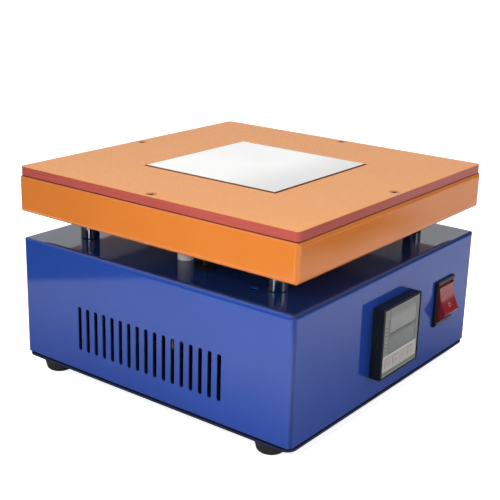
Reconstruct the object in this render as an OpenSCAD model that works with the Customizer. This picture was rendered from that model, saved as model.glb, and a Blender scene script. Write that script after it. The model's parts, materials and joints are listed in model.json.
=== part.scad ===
// Constant-temperature heating platform: a blue case on four feet carries, on four posts,
// an orange tray with an insulating board and a heated aluminium plate in its middle.
// The origin is on the bench under the middle of the case. The front panel faces -Y.

/* [Feet] */
// Height of a rubber foot under the base plate
foot_h = 8; // [7:0.5:14]
// Radius of a foot at the base plate
foot_top_r = 10; // [9:0.5:13]
// Radius that the side of a foot tapers to at the bench
foot_bottom_r = 8; // [7:0.25:8.5]
// Rounding of the lower edge of a foot
foot_edge_r = 3; // [1:0.5:4]
// Distance between the feet from left to right
foot_pitch_x = 191; // [150:1:230]
// Distance between the feet from front to back
foot_pitch_y = 172; // [140:1:176]

/* [Case] */
// Outside width and depth of the case
case_w = 211.4; // [205:0.2:254]
// Height of the case with its base plate
case_h = 80.6; // [76:0.2:110]
// Thickness of the sheet that the cover is bent from
cover_t = 1.2; // [0.8:0.1:2]
// Outside radius of the bends of the cover
cover_bend_r = 3; // [1.5:0.25:4]
// Thickness of the base plate
base_t = 1.4; // [1:0.1:2.5]
// Corner radius of the base plate
base_corner_r = 6; // [3:0.5:10]
// Open seam between the base plate and the cover
seam_h = 1.1; // [0.5:0.1:2]
// Width of the lips folded inwards at the front and the rear of the cover
lip_w = 12; // [9:0.5:14]
// Distance between the cover screws from left to right
cover_screw_pitch_x = 150; // [120:1:170]

/* [Vents] */
// Number of slots in each side of the cover
vent_count = 17; // [5:1:19]
// Width of a slot
vent_w = 2.9; // [2:0.1:4]
// Length of a slot
vent_len = 28.9; // [15:0.1:40]
// Distance from slot to slot
vent_pitch = 6.95; // [5:0.05:9]
// Height of the middle of the slots above the base plate
vent_rise = 30.7; // [24:0.1:45]

/* [Posts and lead holes] */
// Free height between the case and the tray
gap_h = 16.6; // [10:0.1:40]
// Diameter of a post
post_d = 12; // [9:0.5:16]
// Distance between the posts from left to right
post_pitch_x = 155; // [140:1:165]
// Distance between the posts from front to back
post_pitch_y = 148; // [130:1:165]
// Thread diameter of the screws through the posts
post_screw_d = 5; // [4:0.5:6]
// Diameter of the ceramic bush for the heater leads
bush_d = 10; // [9.5:0.5:14]
// Distance from the middle of the case to the ceramic bush
bush_reach = 70; // [66:0.5:76]
// Diameter of the rubber grommets for the sensor lead
grommet_d = 13.5; // [11:0.5:15]
// Distance from the middle of the case to the grommets
grommet_reach = 75; // [70:0.5:80]
// Distance of the grommets in front of the middle of the case
grommet_front = 19.5; // [17:0.5:22]
// Diameter of the punched hole near the front left post
punched_hole_d = 6; // [3:0.5:8]

/* [Tray and board] */
// Outside width and depth of the tray
tray_w = 213.2; // [205:0.2:250]
// Height of the tray
tray_h = 23.9; // [22:0.1:40]
// Thickness of the sheet that the tray is bent from
tray_t = 1.2; // [0.8:0.1:2]
// Outside radius of the bends of the tray
tray_bend_r = 3; // [1.5:0.1:4]
// Width of the flange that the board lies on
flange_w = 11; // [9:0.5:14]
// Width and depth of the insulating board
board_w = 211.5; // [200:0.5:245]
// Corner radius of the insulating board
board_corner_r = 2.5; // [0.5:0.25:5]
// Thickness of the insulating board
board_t = 5.6; // [4:0.1:10]
// Gap round the heated plate
plate_gap = 1.6; // [0.8:0.1:3]
// Distance of a board screw from the edge of the board
board_screw_edge = 5; // [4.5:0.25:6]

/* [Heated plate] */
// Side of the heated plate
plate_w = 100; // [90:1:120]
// Thickness of the heated plate
plate_t = 20; // [19:0.5:24]
// Height of the plate above the board
plate_proud = 0.4; // [0:0.1:2]
// Diameter of a cartridge heater
cartridge_d = 10; // [8:0.5:12]
// Length of a cartridge heater
cartridge_len = 90; // [60:1:92]
// Distance from heater to heater
cartridge_pitch = 33; // [30:0.5:36]
// Diameter of the temperature probe
probe_d = 4; // [2:0.5:5]
// Length of the temperature probe
probe_len = 48; // [20:1:60]
// Distance between the ceramic spacers under the plate from left to right
spacer_pitch_x = 76; // [60:1:84]
// Diameter of a ceramic spacer
spacer_d = 12; // [9:0.5:14]

/* [Temperature controller] */
// Width and height of the front of the controller
ctrl_w = 45; // [44:0.5:52]
// Height of the front above the panel
ctrl_proud = 8; // [8:0.25:12]
// Chamfer round the front of the controller
ctrl_chamfer = 0.5; // [0.3:0.1:1.6]
// Width and height of the controller's housing in the panel
ctrl_body_w = 42.6; // [42:0.1:46]
// Depth of the controller behind the panel face
ctrl_depth = 78; // [72:1:82]
// Wall of the controller's housing
ctrl_wall = 1.4; // [1.2:0.1:1.8]
// Middle of the controller from the middle of the case
ctrl_x = -1.6; // [-20:0.1:5]
// Middle of the controller above the base plate
ctrl_rise = 39.4; // [36:0.2:44]
// Travel of a key
key_travel = 0.5; // [0.3:0.05:0.6]

/* [Rocker switch] */
// Width of the switch's bezel
switch_w = 24.4; // [24:0.1:27]
// Height of the switch's bezel
switch_h = 30.8; // [30.5:0.1:33]
// Height of the bezel above the panel
switch_proud = 2; // [1.5:0.1:3]
// Middle of the switch from the middle of the case
switch_x = 66.5; // [60:0.5:80]
// Middle of the switch above the base plate
switch_rise = 41.2; // [34:0.2:44]
// Tilt of the rocker to either side
rocker_tilt = 18; // [10:0.5:20]
// Width of the rocker
rocker_w = 18.8; // [18:0.1:19]

/* [Power inlet] */
// Width of the inlet's flange
inlet_w = 31; // [30.5:0.5:36]
// Height of the inlet's flange
inlet_h = 37; // [36.5:0.5:40]
// Middle of the inlet from the middle of the case
inlet_x = 58; // [50:0.5:66]
// Middle of the inlet above the base plate
inlet_rise = 34; // [28:0.5:44]

/* [Clearances] */
// Gap between a moving piece and what it moves in
move_gap = 0.3; // [0.25:0.05:0.5]
// Gap between a body and the cut-out that it sits in
fit_gap = 0.2; // [0.1:0.05:0.4]
// Radial gap of a pin in its bearing hole
pin_gap = 0.05; // [0.02:0.01:0.1]

/* [Hidden] */
$fn = 48;
far = 400;

base_z = foot_h;
floor_z = base_z + base_t;
cover_z = floor_z + seam_h;
case_top_z = base_z + case_h;
ceiling_z = case_top_z - cover_t;
tray_z = case_top_z + gap_h;
tray_floor_z = tray_z + tray_t;
tray_top_z = tray_z + tray_h;
board_top_z = tray_top_z + board_t;
plate_top_z = board_top_z + plate_proud;
plate_z = plate_top_z - plate_t;
heater_head_d = cartridge_d - 2;
bore_z = tray_top_z - heater_head_d / 2 - 0.5;

cover_inner_r = max(cover_bend_r - cover_t, 0.3);
tray_inner_r = max(tray_bend_r - tray_t, 0.3);

front_y = -case_w / 2;
rear_y = case_w / 2;

m3_hole_d = 3.4;
m3_head_d = 6;
m3_head_h = 2.2;
m3_nut_af = 5.5;
m3_nut_h = 2.4;
m4_d = 4;
m4_hole_d = 4.4;
m4_head_d = 7.6;
m4_head_h = 2.8;
m4_nut_af = 7;
m4_nut_h = 3.2;

foot_recess_d = 9;
foot_recess_h = 4.6;
cover_screw_y = rear_y - cover_t - lip_w / 2;

post_hole_d = post_screw_d + 0.5;
post_head_d = 1.9 * post_screw_d;
post_head_h = 0.7 * post_screw_d;
post_nut_af = 1.6 * post_screw_d;
post_nut_h = 0.8 * post_screw_d;
washer_t = 1;
washer_d = 2 * post_screw_d;

bush_neck_d = bush_d - 2;
bush_bore_d = bush_neck_d - 2;
bush_end = 3;
heater_lead_d = 2.4;
sensor_lead_d = 2.8;
heater_lead_ring = 1.5;
grommet_neck_d = grommet_d - 4;
grommet_lip = 1.5;
punched_hole_at = [-85.5, -63];

spacer_h = plate_z - tray_floor_z;
spacer_pitch_y = cartridge_pitch;
plate_thread_len = 6;
spacer_hole_d = m4_hole_d + 0.2;
blanket_gap = 0.3;

cartridge_ys = [-cartridge_pitch, 0, cartridge_pitch];
plate_side_x = -plate_w / 2;
probe_y = -grommet_front;
heater_collar = 3;
probe_collar = 6;

ctrl_z = base_z + ctrl_rise;
ctrl_face_y = front_y - ctrl_proud;
ctrl_rear_y = front_y + ctrl_depth;
ctrl_rim = 0.5;
fascia_w = ctrl_w - 2 * ctrl_chamfer - 2 * ctrl_rim;
fascia_t = 0.8;
fascia_set = 0.8;
fascia_y = ctrl_face_y + fascia_set;
ctrl_hollow_w = ctrl_body_w - 2 * ctrl_wall;
window_x = 2.3;
window_w = 31.6;
pv_z = 10.75;
pv_h = 11.5;
sv_z = -2;
sv_h = 11.8;
display_t = 6;
display_gap = 0.1;
display_set = 0.15;
board_front_y = fascia_y + display_set + display_t;
pcb_t = 1.6;
key_xs = [-13.5, -4.5, 4.5, 13.5];
key_z = -13.4;
key_w = 6.8;
key_h = 5.6;
key_proud = 0.2;
key_rim = 0.6;
key_rim_t = 1.2;
dome_h = board_front_y - fascia_y - fascia_t - move_gap - key_rim_t - key_travel - move_gap;
lamp_count = 7;
lamp_d = 1.4;
lamp_x = -17.3;
lamp_top_z = 10.9;
lamp_pitch = 2.5;
terminal_t = 9;
terminal_rows = 5;
terminal_pitch = 7.6;
terminal_x = 12.4;
entry_x = 4;
entry_len = 6;

switch_z = base_z + switch_rise;
switch_body_w = switch_w - 2.6;
switch_body_h = switch_h - 2.6;
switch_depth = 22;
pocket_w = rocker_w + 2 * move_gap + 0.2;
rocker_r = (switch_body_h - 4.2) / 2;
pocket_h = 2 * (rocker_r + move_gap + 0.1);
pivot_in = 2.6;
pivot_y = front_y + pivot_in;
pivot_d = 3;
rocker_back = 1.5;
rocker_crest_a = 47.5;
rocker_dish = 1;
crest_y = rocker_r * cos(rocker_crest_a);
crest_z = rocker_r * sin(rocker_crest_a);
dish_r = (pow(crest_z, 2) + pow(rocker_dish, 2)) / (2 * rocker_dish);
pocket_floor_y = pivot_y + rocker_r * sin(rocker_tilt) + rocker_back + 1.1;
tab_w = 6.3;
tab_t = 0.8;
tab_len = 9;
tab_dx = 5;
tab_dz = 8;

inlet_z = base_z + inlet_rise;
inlet_flange_t = 3;
inlet_body_w = inlet_w - 4;
inlet_body_h = inlet_h - 4;
inlet_body_depth = 26;
socket_w = 24.4;
socket_h = 16.9;
socket_depth = 17;
socket_corner = 4.5;
socket_z = inlet_z + 7;
socket_floor_y = rear_y + inlet_flange_t - socket_depth;
inlet_back_y = rear_y - inlet_body_depth;
blade_w = 2;
blade_h = 4;
blade_len = 15.5;
blade_at = [[-7, -2], [7, -2], [0, 2]];
drawer_w = 21.8;
drawer_h = 8.4;
drawer_z = inlet_z - 10.4;
drawer_len = 26;
drawer_face_w = 24;
drawer_face_h = 10;
drawer_face_t = 1.8;
fuse_d = 5.2;
fuse_len = 20;
fuse_cap_d = 5.6;

relay_at = [22, 44];
relay_w = 44.5;
relay_d = 58;
relay_h = 24;
relay_hole_pitch = 47.6;
relay_post_x = 13;
relay_post_y = 24;
relay_post_z = floor_z + 12.9;
strip_at = [-bush_reach + 4.5, 0];
strip_w = 18;
strip_len = 66;
strip_h = 18;
strip_poles = 5;
strip_pitch = 10;
strip_hole_pitch = 58;
strip_row = 4.5;
strip_well_w = 6.4;
well_len = 4;
earth_at = [86, 52];
earth_gap = 3;
mains_lead_d = 2.6;
well_d = 3.4;
lead_bend_r = 3;
high_z = case_top_z - 16.6;
side_x = case_w / 2 - 13.7;

rear_proud = inlet_flange_t + move_gap + drawer_face_t;
mid_y = (ctrl_proud - rear_proud) / 2;

function unit(v) = v / norm(v);
function pole_y(i) = (i - (strip_poles - 1) / 2) * strip_pitch;
function terminal_rise(i) = (i - (terminal_rows - 1) / 2) * terminal_pitch;
function heater_lead_at(i) = [
    -bush_reach + heater_lead_ring * cos(240 + 120 * i),
    heater_lead_ring * sin(240 + 120 * i)
];

module round_rect(w, d, r) {
    square([w - 2 * r, d], center = true);
    square([w, d - 2 * r], center = true);
    for (x = [-1, 1], y = [-1, 1])
        translate([x * (w / 2 - r), y * (d / 2 - r)])
            circle(r);
}

// Upright outline of width w and height h with its lower edge on the axis
module upright(w, h, top_r, bottom_r) {
    low = max(bottom_r, 0);
    translate([-w / 2, low])
        square([w, h - low - top_r]);
    translate([-w / 2 + top_r, h / 2])
        square([w - 2 * top_r, h / 2]);
    for (x = [-1, 1])
        translate([x * (w / 2 - top_r), h - top_r])
            circle(top_r);
    if (low > 0) {
        translate([-w / 2 + low, 0])
            square([w - 2 * low, h / 2]);
        for (x = [-1, 1])
            translate([x * (w / 2 - low), low])
                circle(low);
    }
}

// Square box with round vertical edges, round top edges and, if asked, round bottom edges
module bent_box(w, h, edge_r, top_r, bottom_r) {
    intersection() {
        linear_extrude(h)
            round_rect(w, w, edge_r);
        rotate([90, 0, 0])
            linear_extrude(w, center = true)
                upright(w, h, top_r, bottom_r);
        rotate([90, 0, 90])
            linear_extrude(w, center = true)
                upright(w, h, top_r, bottom_r);
    }
}

// Box that is centred in X and Z and starts at y
module block_from(x, y, z, size) {
    translate([x - size[0] / 2, y, z - size[2] / 2])
        cube(size);
}

module at_corners(pitch_x, pitch_y) {
    for (x = [-1, 1], y = [-1, 1])
        translate([x * pitch_x / 2, y * pitch_y / 2, 0])
            children();
}

module at_ends(pitch) {
    for (y = [-1, 1])
        translate([0, y * pitch / 2, 0])
            children();
}

module ring(outer_d, inner_d, h) {
    difference() {
        cylinder(d = outer_d, h = h);
        translate([0, 0, -1])
            cylinder(d = inner_d, h = h + 2);
    }
}

// Hexagonal nut across flats af, with a plain bore
module nut(af, bore_d, h) {
    difference() {
        cylinder(d = af / cos(30), h = h, $fn = 6);
        translate([0, 0, -1])
            cylinder(d = bore_d, h = h + 2);
    }
}

// Pan head screw with its shank going down from the origin and a cross recess in its head
module pan_screw(d, len, head_d, head_h) {
    difference() {
        union() {
            cylinder(d1 = head_d, d2 = 0.75 * head_d, h = head_h);
            translate([0, 0, -len])
                cylinder(d = d, h = len + 0.1);
        }
        for (turn = [0, 90])
            rotate([0, 0, turn])
                translate([-0.3 * head_d, -0.09 * head_d, 0.45 * head_h])
                    cube([0.6 * head_d, 0.18 * head_d, head_h]);
    }
}

// Straight stretch of a lead between two points on a line parallel to an axis
module lead_run(a, b, d) {
    low = [min(a[0], b[0]), min(a[1], b[1]), min(a[2], b[2])];
    span = b - a;
    length = norm(span);
    turn = abs(span[0]) > 0.001 ? [0, 90, 0] : abs(span[1]) > 0.001 ? [-90, 0, 0] : [0, 0, 0];
    if (length > 0.001)
        translate(low)
            rotate(turn)
                cylinder(d = d, h = length);
}

// Quarter bend at a corner where a lead turns from direction u to direction v
module lead_bend(corner, u, v, d, r) {
    c = corner - r * u + r * v;
    w = cross(-v, u);
    multmatrix([
        [-v[0], u[0], w[0], c[0]],
        [-v[1], u[1], w[1], c[1]],
        [-v[2], u[2], w[2], c[2]],
        [0, 0, 0, 1]
    ])
        rotate_extrude(angle = 90)
            translate([r, 0])
                circle(d = d);
}

// Lead along runs parallel to the axes, with a quarter bend at each corner
module lead(points, d, r) {
    last = len(points) - 1;
    for (i = [0:last - 1]) {
        u = unit(points[i + 1] - points[i]);
        lead_run(
            points[i] + (i == 0 ? 0 : r) * u,
            points[i + 1] - (i == last - 1 ? 0 : r) * u,
            d
        );
    }
    for (i = [1:last - 1])
        lead_bend(
            points[i], unit(points[i] - points[i - 1]), unit(points[i + 1] - points[i]), d, r
        );
}

module base_plate() {
    color("navy") translate([0, mid_y, 0])
        difference() {
            union() {
                translate([0, 0, base_z])
                    linear_extrude(base_t)
                        round_rect(case_w, case_w, base_corner_r);
                translate([0, 0, floor_z])
                    at_corners(cover_screw_pitch_x, 2 * cover_screw_y)
                        cylinder(d = lip_w - 2, h = seam_h);
            }
            translate([0, 0, base_z - 1]) {
                at_corners(foot_pitch_x, foot_pitch_y)
                    cylinder(d = m4_hole_d, h = base_t + 2);
                at_corners(cover_screw_pitch_x, 2 * cover_screw_y)
                    cylinder(d = m3_hole_d, h = base_t + seam_h + 2);
                translate([relay_at[0], relay_at[1], 0])
                    at_ends(relay_hole_pitch)
                        cylinder(d = m4_d + 2 * pin_gap, h = base_t + 2);
                translate([strip_at[0], strip_at[1], 0])
                    at_ends(strip_hole_pitch)
                        cylinder(d = 3 + 2 * pin_gap, h = base_t + 2);
                translate([earth_at[0], earth_at[1], 0])
                    cylinder(d = m4_hole_d, h = base_t + 2);
            }
        }
}

// Slots of one row, as an upright outline with their middle on the axis
module vent_row() {
    for (i = [0:vent_count - 1])
        translate([(i - (vent_count - 1) / 2) * vent_pitch, 0]) {
            square([vent_w, vent_len - vent_w], center = true);
            for (end = [-1, 1])
                translate([0, end * (vent_len - vent_w) / 2])
                    circle(d = vent_w);
        }
}

module cover() {
    height = case_top_z - cover_z;
    inner_w = case_w - 2 * cover_t;
    color("royalblue") translate([0, mid_y, 0])
        difference() {
            union() {
                difference() {
                    translate([0, 0, cover_z])
                        bent_box(case_w, height, cover_bend_r, cover_bend_r, 0);
                    translate([0, 0, cover_z - 1])
                        bent_box(inner_w, height - cover_t + 1, cover_inner_r, cover_inner_r, 0);
                }
                for (side = [-1, 1])
                    translate([0, side * (inner_w / 2 - lip_w / 2 + 0.1), cover_z + cover_t / 2])
                        cube([case_w - 4 * base_corner_r, lip_w + 0.2, cover_t], center = true);
            }
            translate([0, 0, base_z + vent_rise])
                rotate([90, 0, 90])
                    linear_extrude(far, center = true)
                        vent_row();
            block_from(ctrl_x, front_y - 1, ctrl_z,
                [ctrl_body_w + 2 * fit_gap, cover_t + 2, ctrl_body_w + 2 * fit_gap]);
            block_from(switch_x, front_y - 1, switch_z,
                [switch_body_w + 2 * fit_gap, cover_t + 2, switch_body_h + 2 * fit_gap]);
            block_from(inlet_x, rear_y - cover_t - 1, inlet_z,
                [inlet_body_w + 2 * fit_gap, cover_t + 2, inlet_body_h + 2 * fit_gap]);
            translate([0, 0, ceiling_z - 1]) {
                at_corners(post_pitch_x, post_pitch_y)
                    cylinder(d = post_hole_d, h = cover_t + 2);
                translate([-bush_reach, 0, 0])
                    cylinder(d = bush_neck_d + 2 * fit_gap, h = cover_t + 2);
                translate([-grommet_reach, probe_y, 0])
                    cylinder(d = grommet_neck_d + 2 * pin_gap, h = cover_t + 2);
                translate(punched_hole_at)
                    cylinder(d = punched_hole_d, h = cover_t + 2);
            }
            translate([0, 0, cover_z - 1])
                at_corners(cover_screw_pitch_x, 2 * cover_screw_y)
                    cylinder(d = m3_hole_d, h = cover_t + 2);
        }
}

// Side of a foot tapers from the top radius to the bottom radius and ends in a round edge
module foot() {
    slope = [foot_top_r - foot_bottom_r, foot_h];
    out = [slope[1], -slope[0]] / norm(slope);
    edge_x = foot_top_r + ((foot_edge_r - foot_h) * -out[1] - foot_edge_r) / out[0];
    edge = [edge_x, foot_edge_r];
    touch = edge + foot_edge_r * out;
    difference() {
        rotate_extrude()
            difference() {
                union() {
                    polygon([[0, 0], [edge[0], 0], edge, touch, [foot_top_r, foot_h], [0, foot_h]]);
                    translate(edge)
                        circle(foot_edge_r);
                }
                translate([-foot_edge_r, -1])
                    square([foot_edge_r, foot_h + 2]);
            }
        translate([0, 0, -1])
            cylinder(d = m4_hole_d, h = foot_h + 2);
        translate([0, 0, -1])
            cylinder(d = foot_recess_d, h = foot_recess_h + 1);
    }
}

module rubber_feet() {
    color("black") translate([0, mid_y, 0])
        at_corners(foot_pitch_x, foot_pitch_y)
            foot();
}

module foot_screws() {
    reach = floor_z + m4_nut_h + 1 - foot_recess_h;
    color("silver") translate([0, mid_y, 0])
        translate([0, 0, foot_recess_h])
            at_corners(foot_pitch_x, foot_pitch_y)
                rotate([180, 0, 0])
                    pan_screw(m4_d, reach, m4_head_d, m4_head_h);
}

module foot_nuts() {
    color("silver") translate([0, mid_y, 0])
        translate([0, 0, floor_z])
            at_corners(foot_pitch_x, foot_pitch_y)
                nut(m4_nut_af, m4_d + 2 * pin_gap, m4_nut_h);
}

module cover_screws() {
    reach = cover_z + cover_t + m3_nut_h + 0.6 - base_z;
    color("silver") translate([0, mid_y, 0])
        translate([0, 0, base_z])
            at_corners(cover_screw_pitch_x, 2 * cover_screw_y)
                rotate([180, 0, 0])
                    pan_screw(3, reach, m3_head_d, m3_head_h);
}

module cover_nuts() {
    color("silver") translate([0, mid_y, 0])
        translate([0, 0, cover_z + cover_t])
            at_corners(cover_screw_pitch_x, 2 * cover_screw_y)
                nut(m3_nut_af, 3 + 2 * pin_gap, m3_nut_h);
}

module posts() {
    edge = 0.5;
    color("gainsboro") translate([0, mid_y, 0])
        translate([0, 0, case_top_z])
            at_corners(post_pitch_x, post_pitch_y)
                difference() {
                    union() {
                        cylinder(d1 = post_d - 2 * edge, d2 = post_d, h = edge);
                        translate([0, 0, edge])
                            cylinder(d = post_d, h = gap_h - 2 * edge);
                        translate([0, 0, gap_h - edge])
                            cylinder(d1 = post_d, d2 = post_d - 2 * edge, h = edge);
                    }
                    translate([0, 0, -1])
                        cylinder(d = post_hole_d, h = gap_h + 2);
                }
}

module post_screws() {
    reach = tray_floor_z - ceiling_z + washer_t + post_nut_h + 2;
    color("silver") translate([0, mid_y, 0])
        translate([0, 0, tray_floor_z])
            at_corners(post_pitch_x, post_pitch_y)
                pan_screw(post_screw_d, reach, post_head_d, post_head_h);
}

module post_washers() {
    color("silver") translate([0, mid_y, 0])
        translate([0, 0, ceiling_z - washer_t])
            at_corners(post_pitch_x, post_pitch_y)
                ring(washer_d, post_hole_d, washer_t);
}

module post_nuts() {
    color("silver") translate([0, mid_y, 0])
        translate([0, 0, ceiling_z - washer_t - post_nut_h])
            at_corners(post_pitch_x, post_pitch_y)
                nut(post_nut_af, post_screw_d + 2 * pin_gap, post_nut_h);
}

module lead_bush() {
    low = ceiling_z - bush_end;
    color("white") translate([0, mid_y, 0])
        translate([-bush_reach, 0, 0])
            difference() {
                union() {
                    translate([0, 0, case_top_z])
                        cylinder(d = bush_d, h = gap_h);
                    translate([0, 0, low])
                        cylinder(d = bush_neck_d, h = tray_floor_z + bush_end - low);
                }
                translate([0, 0, low - 1])
                    cylinder(d = bush_bore_d, h = tray_floor_z + bush_end - low + 2);
            }
}

module lead_grommets() {
    color("black") translate([0, mid_y, 0])
        for (level = [[ceiling_z, cover_t], [tray_z, tray_t]])
            translate([-grommet_reach, probe_y, level[0]])
                difference() {
                    union() {
                        translate([0, 0, -grommet_lip])
                            cylinder(d = grommet_d, h = grommet_lip);
                        cylinder(d = grommet_neck_d, h = level[1]);
                        translate([0, 0, level[1]])
                            cylinder(d = grommet_d, h = grommet_lip);
                    }
                    translate([0, 0, -grommet_lip - 1])
                        cylinder(d = sensor_lead_d + 2 * fit_gap, h = level[1] + 2 * grommet_lip + 2);
                }
}

module tray() {
    inner_w = tray_w - 2 * tray_t;
    mouth_w = tray_w - 2 * flange_w;
    color("darkorange") translate([0, mid_y, 0])
        difference() {
            translate([0, 0, tray_z])
                bent_box(tray_w, tray_h, tray_bend_r, tray_bend_r, tray_bend_r);
            translate([0, 0, tray_floor_z])
                bent_box(inner_w, tray_h - 2 * tray_t, tray_inner_r, tray_inner_r, tray_inner_r);
            translate([0, 0, tray_top_z])
                cube([mouth_w, mouth_w, 4 * tray_t], center = true);
            translate([0, 0, tray_z - 1]) {
                at_corners(post_pitch_x, post_pitch_y)
                    cylinder(d = post_hole_d, h = tray_t + 2);
                at_corners(spacer_pitch_x, spacer_pitch_y)
                    cylinder(d = spacer_hole_d, h = tray_t + 2);
                translate([-bush_reach, 0, 0])
                    cylinder(d = bush_neck_d + 2 * fit_gap, h = tray_t + 2);
                translate([-grommet_reach, probe_y, 0])
                    cylinder(d = grommet_neck_d + 2 * pin_gap, h = tray_t + 2);
            }
            board_screw_places()
                translate([0, 0, tray_top_z - tray_t - 1])
                    cylinder(d = m3_hole_d, h = tray_t + 2);
        }
}

module board_screw_places() {
    for (turn = [0:90:270])
        rotate([0, 0, turn])
            translate([board_w / 2 - board_screw_edge, 0, 0])
                children();
}

module insulation_blanket() {
    outer_w = tray_w - 2 * tray_t - 2 * blanket_gap;
    inner_w = plate_w + 2 * plate_gap;
    height = tray_top_z - tray_t - tray_floor_z - 2 * blanket_gap;
    notch_w = plate_side_x + outer_w / 2 - 14;
    color("ivory") translate([0, mid_y, 0])
        difference() {
            translate([0, 0, tray_floor_z + blanket_gap])
                bent_box(outer_w, height, tray_inner_r, tray_inner_r, tray_inner_r);
            translate([0, 0, tray_floor_z - 1])
                linear_extrude(height + 2) {
                    square(inner_w, center = true);
                    translate([-inner_w / 2 - notch_w + 1, -inner_w / 2 + 4])
                        square([notch_w, inner_w - 8]);
                }
            translate([0, 0, tray_floor_z - 1])
                at_corners(post_pitch_x, post_pitch_y)
                    cylinder(d = post_head_d + 2, h = post_head_h + 2);
            board_screw_places()
                translate([0, 0, tray_top_z - 12])
                    cylinder(d = m3_hole_d + 1, h = 12);
        }
}

module insulation_pad() {
    color("ivory") translate([0, mid_y, 0])
        difference() {
            translate([0, 0, tray_floor_z + blanket_gap])
                linear_extrude(spacer_h - 2 * blanket_gap)
                    square(plate_w - 2, center = true);
            translate([0, 0, tray_floor_z])
                at_corners(spacer_pitch_x, spacer_pitch_y)
                    cylinder(d = spacer_d + 2 * blanket_gap, h = spacer_h + 1);
        }
}

module top_board() {
    color("coral") translate([0, mid_y, 0])
        difference() {
            translate([0, 0, tray_top_z])
                linear_extrude(board_t)
                    difference() {
                        round_rect(board_w, board_w, board_corner_r);
                        square(plate_w + 2 * plate_gap, center = true);
                    }
            board_screw_places() {
                translate([0, 0, tray_top_z - 1])
                    cylinder(d = m3_hole_d, h = board_t + 2);
                translate([0, 0, board_top_z - m3_head_h])
                    cylinder(d1 = m3_hole_d, d2 = m3_head_d + 2 * fit_gap, h = m3_head_h + 0.01);
            }
        }
}

module board_screws() {
    color("peru") translate([0, mid_y, 0])
        board_screw_places()
            translate([0, 0, board_top_z - fit_gap])
                difference() {
                    union() {
                        translate([0, 0, -m3_head_h])
                            cylinder(d1 = 3, d2 = m3_head_d, h = m3_head_h);
                        translate([0, 0, -board_t - tray_t - 3])
                            cylinder(d = 3, h = board_t + tray_t + 3);
                    }
                    for (turn = [0, 90])
                        rotate([0, 0, turn])
                            translate([-1.6, -0.4, -1.2])
                                cube([3.2, 0.8, 2]);
                }
}

module heated_plate() {
    color("lightgray") translate([0, mid_y, 0])
        difference() {
            translate([0, 0, plate_z])
                linear_extrude(plate_t)
                    square(plate_w, center = true);
            for (y = cartridge_ys)
                translate([plate_side_x - 1, y, bore_z])
                    rotate([0, 90, 0])
                        cylinder(d = cartridge_d + 2 * pin_gap, h = cartridge_len + 2);
            translate([plate_side_x - 1, probe_y, bore_z])
                rotate([0, 90, 0])
                    cylinder(d = probe_d + 2 * pin_gap, h = probe_len + 2);
            translate([0, 0, plate_z - 1])
                at_corners(spacer_pitch_x, spacer_pitch_y)
                    cylinder(d = m4_d + 2 * pin_gap, h = plate_thread_len + 1);
        }
}

module cartridge_heaters() {
    color("slategray") translate([0, mid_y, 0])
        for (y = cartridge_ys)
            translate([plate_side_x - heater_collar, y, bore_z])
                rotate([0, 90, 0])
                    union() {
                        cylinder(d = heater_head_d, h = heater_collar);
                        translate([0, 0, heater_collar])
                            cylinder(d = cartridge_d, h = cartridge_len);
                    }
}

module temperature_probe() {
    color("silver") translate([0, mid_y, 0])
        translate([plate_side_x - probe_collar, probe_y, bore_z])
            rotate([0, 90, 0])
                union() {
                    cylinder(d = probe_d + 1.5, h = probe_collar - 0.5);
                    cylinder(d = probe_d, h = probe_collar + probe_len);
                }
}

module plate_spacers() {
    color("white") translate([0, mid_y, 0])
        translate([0, 0, tray_floor_z])
            at_corners(spacer_pitch_x, spacer_pitch_y)
                ring(spacer_d, spacer_hole_d, spacer_h);
}

module plate_screws() {
    reach = tray_t + spacer_h + plate_thread_len - 1;
    color("silver") translate([0, mid_y, 0])
        translate([0, 0, tray_z])
            at_corners(spacer_pitch_x, spacer_pitch_y)
                rotate([180, 0, 0])
                    pan_screw(m4_d, reach, m4_head_d, m4_head_h);
}

// Square outline seen from the side, with its two front corners cut off at 45 degrees
module chamfered_side(w, depth, cut) {
    polygon([
        [0, -w / 2 + cut], [cut, -w / 2], [depth, -w / 2],
        [depth, w / 2], [cut, w / 2], [0, w / 2 - cut]
    ]);
}

// Slab from the front y of the panel side, with a chamfer round its front face
module chamfered_slab(w, h, depth, cut) {
    intersection() {
        rotate([90, 0, 90])
            linear_extrude(w, center = true)
                chamfered_side(h, depth, cut);
        rotate([0, 0, 90])
            linear_extrude(h, center = true)
                chamfered_side(w, depth, cut);
    }
}

module controller_housing() {
    lip = ctrl_body_w - ctrl_hollow_w;
    color("dimgray") translate([0, mid_y, 0])
        difference() {
            union() {
                translate([ctrl_x, ctrl_face_y, ctrl_z])
                    chamfered_slab(ctrl_w, ctrl_w, ctrl_proud, ctrl_chamfer);
                block_from(ctrl_x, front_y - 0.1, ctrl_z, [ctrl_body_w, ctrl_depth + 0.1, ctrl_body_w]);
            }
            block_from(ctrl_x, ctrl_face_y - 1, ctrl_z,
                [fascia_w + 2 * display_gap, fascia_set + fascia_t + 1, fascia_w + 2 * display_gap]);
            block_from(ctrl_x, ctrl_face_y - 1, ctrl_z,
                [ctrl_hollow_w, ctrl_depth + ctrl_proud + 2, ctrl_hollow_w]);
            for (i = [0:4], z = [-1, 1])
                block_from(ctrl_x, front_y + 30 + 7 * i, ctrl_z + z * ctrl_body_w / 2,
                    [ctrl_body_w - 14, 2.4, 2 * lip]);
        }
}

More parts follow.
